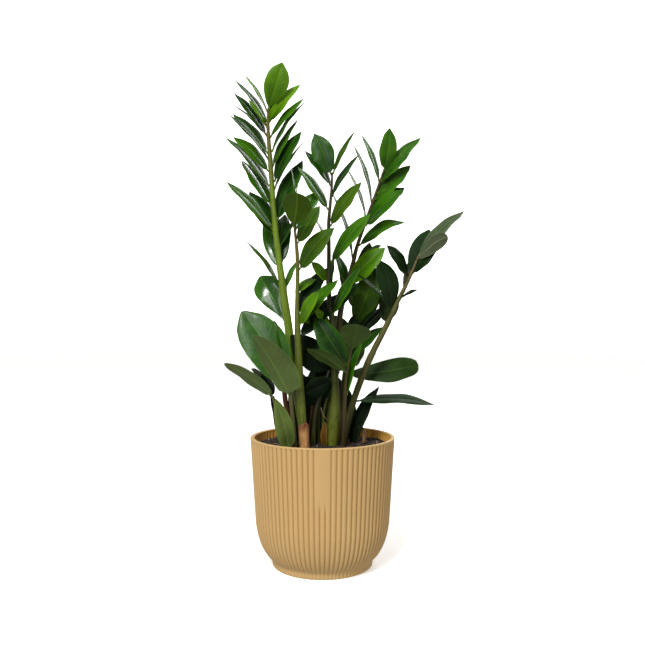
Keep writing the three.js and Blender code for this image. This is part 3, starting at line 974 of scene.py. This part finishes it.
# Leaves that come straight out of the soil: where they start, their reach, their width and their turn.
# These dark leaves fill the low gaps behind and between the stems, partly as leaves and partly as painted
# shade for the dark there.
SOIL_LEAVES = [
    ((36, 9, 140), (33, 2, 80), 21, -48), ((-50, 10, 140), (-14, 2, 66), 16, 40),
    ((-18, 34, 138), (4, 22, 94), 38, 12), ((6, 44, 138), (-18, 16, 108), 40, -14),
    ((34, 40, 138), (-14, 24, 92), 36, 20), ((-34, 26, 138), (-6, 22, 74), 30, 40),
]

frame_leaves = [(f"leaf_{stem}_{place}", finish) for stem, finishes in FRAME_FINISHES.items()
                for place, finish in enumerate(finishes, 1)]
for seed, (node, finish) in enumerate(frame_leaves, 1):
    leaf = leaf_object(f"{node}_blade", [blade_of_node(node)], finish, seed,
                       **LEAF_SHAPES.get(node, USUAL_SHAPE))
    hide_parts(node)
soil_leaf = leaf_object("leaf_from_soil_blade", [blade_of_node("leaf_from_soil")], "pale", 60,
                        **LEAF_SHAPES["leaf_from_soil"])
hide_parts("leaf_from_soil")
for place, (stem, rows) in enumerate(SMALL_LEAVES.items()):
    by_finish = {}
    for height, reach, width, turn, *finish in rows:
        blade = blade_on_stem(stem, height, reach, width, turn)
        by_finish.setdefault(finish[0] if finish else SMALL_FINISH[stem], []).append(blade)
    for finish, blades in sorted(by_finish.items()):
        leaf_object(f"small_leaves_{stem}_{finish}", blades, finish, 70 + place)
leaf_object("soil_leaves", [blade_from(*row) for row in SOIL_LEAVES], "shade", 90, hook=0.05, full=(0.6, 0.8))
leaf_object("yellow_sheath", [blade_from((2.5, -9, 144), (1, 1, 33), 9, -15)], "straw", 91, full=(0.4, 0.8))


# The thin stalks: young and spent shoots that come out of the soil between the stems, and one dried thread
# of root. Each has its route and radii in millimetres, and its foot's, middle's and top's colour.
SMALL_STALKS = {
    "stalk_reddish": (((-19, 8, 138), (-15, 8, 175), (-11, 9, 212)), (1.9, 1.9, 1.5),
                      ((78, 40, 28), (84, 50, 34), (64, 54, 30))),
    "stalk_olive": (((-5, 12, 138), (-5, 12, 170), (-3, 12, 204)), (2.6, 2.4, 1.8),
                    ((58, 62, 30), (50, 56, 26), (40, 48, 22))),
    "stalk_green": (((4, 20, 138), (1, 16, 180), (9, 14, 214)), (2.4, 2.2, 1.6),
                    ((88, 96, 40), (84, 96, 40), (60, 74, 30))),
    "root_thread": (((6.8, -7, 177), (5, -9, 180), (1, -8, 185), (-1, -7, 190), (-2, -6, 194)),
                    (0.5, 0.5, 0.45, 0.45, 0.4), ((110, 90, 70), (120, 100, 80), (120, 104, 86))),
}
for place, (name, (route, radii, colours)) in enumerate(SMALL_STALKS.items()):
    route = np.array(route) * MM
    skin = stem_material(f"{name}_skin", *(rgb(*colour) for colour in colours), route[0][2], route[-1][2])
    stalk = bar_mesh(name, route, np.array(radii) * MM, skin, seed=30 + place)


# The dry remains: a torn papery sheath round the front stem's foot, and the bent stalk of a withered leaf.
# Both are dead brown fibre, still rooted in the soil.
HUSK_STARTS = math.radians(228)
HUSK_ENDS = math.radians(400)
HUSK_TIP = math.radians(296)
HUSK_DROP = 10 * MM
HUSK_TEARS = 1.8 * MM
HUSK_RADIUS = 7.2 * MM
HUSK_FLARE = 0.9 * MM
HUSK_THICKNESS = 0.9 * MM
HUSK_LEAN = 0.056
HUSK_ROWS = 16
HUSK_COLUMNS = 48
HUSK_BURNT = (162 * MM, 176 * MM)
STUB_BURNT = (155 * MM, 170 * MM)


def dry_material(name, dark, light, burnt, heights):
    """Dead plant fibre that darkens to a burnt colour between two heights."""
    made, wire, shader = new_material(name)
    place, height = upright_places(wire)
    fibres = noise_wire(wire, 420, 4, 0.6, (1, 1, 0.06), place)
    stains = noise_wire(wire, 90, 3, 0.5, (1, 1, 1), place)
    tint = fibres.band(0.3, 0.6).mix(dark, light)
    tint = (stains.band(0.5, 0.7) * 0.4).mix(tint, dark)
    tint = (height.band(*heights) * 0.85).mix(tint, burnt)
    connect(shader, {
        "Base Color": tint,
        "Roughness": 0.62 + fibres * 0.2,
        "Normal": bump_wire(wire, fibres, 0.0006, 0.8),
    })
    return made


def build_husk(material):
    """A ragged half tube with thickness, a little flared at its torn top."""
    low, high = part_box("husk")
    middle_x = (low.x + high.x) / 2
    middle_z = (low.z + high.z) / 2
    foot = soil_edge - 2 * MM
    draw = random.Random(5)
    turns = np.linspace(HUSK_STARTS, HUSK_ENDS, HUSK_COLUMNS)
    tops = [high.z - HUSK_DROP * abs(math.sin((turn - HUSK_TIP) * 0.55)) ** 1.3
            - HUSK_TEARS * abs(math.sin(8 * turn)) + draw.uniform(-0.4, 0.2) * MM for turn in turns]
    points = []
    for skin in (0, HUSK_THICKNESS):
        for share in np.linspace(0, 1, HUSK_ROWS):
            for turn, top in zip(turns, tops):
                z = foot + (top - foot) * share
                crinkle = noise.noise((math.cos(turn) * 3, math.sin(turn) * 3, z * 120)) * 0.6 * MM
                radius = HUSK_RADIUS + HUSK_FLARE * share**3 - skin * (1 - 0.6 * share) + crinkle
                points.append((middle_x + (middle_z - z) * HUSK_LEAN + math.cos(turn) * radius,
                               low.y + 8.1 * MM + math.sin(turn) * radius, z))
    return mesh_object("husk_sheath", points, sheet_faces(HUSK_ROWS, HUSK_COLUMNS)[0], [material])


husk_fibre = dry_material("husk_fibre", rgb(126, 82, 44), rgb(200, 152, 96), rgb(92, 36, 18), HUSK_BURNT)
husk = build_husk(husk_fibre)
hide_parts("husk")
stub_fibre = dry_material("stub_fibre", rgb(84, 58, 36), rgb(140, 104, 70), rgb(80, 52, 34), STUB_BURNT)
stub = bar_mesh("dried_stub_stalk", *stem_line("dried_stub"), stub_fibre, seed=9, ragged=1.5 * MM)
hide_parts("dried_stub")


# The studio: a wide pale floor inside a round white screen, a key light and a soft box high on the left, a
# soft light overhead, a weak warm one on the right and one behind. The camera stands level in front of the
# pot, a little lower than the plant's middle.
SCREEN_RADIUS = 6.0
SCREEN_HEIGHT = 7.0
SCREEN_SPOKES = 64
CAMERA_DISTANCE = 0.873
CAMERA_HEIGHT = 0.3
LENS = 38.9
KEY_STRENGTH = 1.9
KEY_WIDTH = math.radians(15)


def studio_material(name, glow):
    """White paper that glows a little, so that its far edge doesn't show."""
    made, wire, shader = new_material(name)
    paper = noise_wire(wire, 30, 2)
    tint = paper.band(0.2, 0.8).mix((0.86, 0.86, 0.86, 1), (0.88, 0.88, 0.88, 1))
    connect(shader, {"Base Color": tint, "Roughness": 0.95, "Emission Color": tint,
                     "Emission Strength": glow, "Specular IOR Level": 0.0})
    return made


def stage_object(name, profile, material):
    """A surface swept round the upright axis, from [radius, height] points."""
    points = []
    for radius, height in profile:
        for spoke in range(SCREEN_SPOKES):
            turn = spoke / SCREEN_SPOKES * 2 * math.pi
            points.append((radius * math.cos(turn), radius * math.sin(turn), height))
    mesh = bpy.data.meshes.new(name)
    mesh.from_pydata(points, [], ring_faces(len(profile), SCREEN_SPOKES))
    mesh.materials.append(material)
    made = add_object(name, mesh)
    return made


def shining(direction):
    """The rotation of a light that shines in a direction."""
    return Vector(direction).to_track_quat("-Z", "Y").to_euler()


def soft_light(name, place, aim, size, power, colour=(1, 1, 1)):
    """A rectangular light that shines from its place towards its aim."""
    data = bpy.data.lights.new(name, "AREA")
    data.color = colour
    data.shape = "RECTANGLE"
    data.size, data.size_y = size
    data.energy = power
    made = add_object(name, data)
    made.location = place
    made.rotation_euler = shining(Vector(aim) - Vector(place))


floor = stage_object("studio_floor", [(0.0001, 0), (SCREEN_RADIUS + 1, 0)],
                     studio_material("floor_white", 0.4))
screen = stage_object("studio_screen", [(SCREEN_RADIUS, -0.01), (SCREEN_RADIUS, SCREEN_HEIGHT)],
                      studio_material("screen_white", 1.3))
screen.visible_shadow = False
for paper in (floor, screen):
    paper.visible_diffuse = False
    paper.visible_glossy = False

camera_data = bpy.data.cameras.new("camera")
camera_data.sensor_width = 36
camera_data.lens = LENS
camera = add_object("camera", camera_data)
camera.location = (0, -CAMERA_DISTANCE, CAMERA_HEIGHT)
camera.rotation_euler = (math.radians(90), 0, 0)
bpy.context.scene.camera = camera

key_data = bpy.data.lights.new("key", "SUN")
key_data.energy = KEY_STRENGTH
key_data.angle = KEY_WIDTH
key = add_object("key", key_data)
key.rotation_euler = shining((0.33, 0.72, -0.86))
soft_light("soft_box", place=(-0.84, -1.81, 1.27), aim=(0, 0, 0.35), size=(0.8, 1.2), power=21)
soft_light("top_light", place=(-0.1, -0.35, 2.3), aim=(0, 0, 0.3), size=(1.2, 1.2), power=12)
soft_light("right_fill", place=(1.6, -1.6, 1.2), aim=(0, 0, 0.25), size=(1.6, 1.6), power=6,
           colour=(1, 0.84, 0.62))
soft_light("back_fill", place=(0.9, 1.7, 1.5), aim=(0, 0, 0.3), size=(1.4, 1.0), power=30)

world = bpy.data.worlds.new("studio_air")
world.use_nodes = True
sky = Wire(world.node_tree)
height = sky.node("SeparateXYZ", {}, {"Vector": sky.node("TexCoord", output="Generated")}, "Z")
connect(world.node_tree.nodes["Background"], {
    "Color": height.band(-0.4, 0.9).mix((0.62, 0.6, 0.56, 1), (0.24, 0.235, 0.22, 1)),
})
bpy.context.scene.world = world
bpy.context.scene.view_settings.view_transform = "Standard"
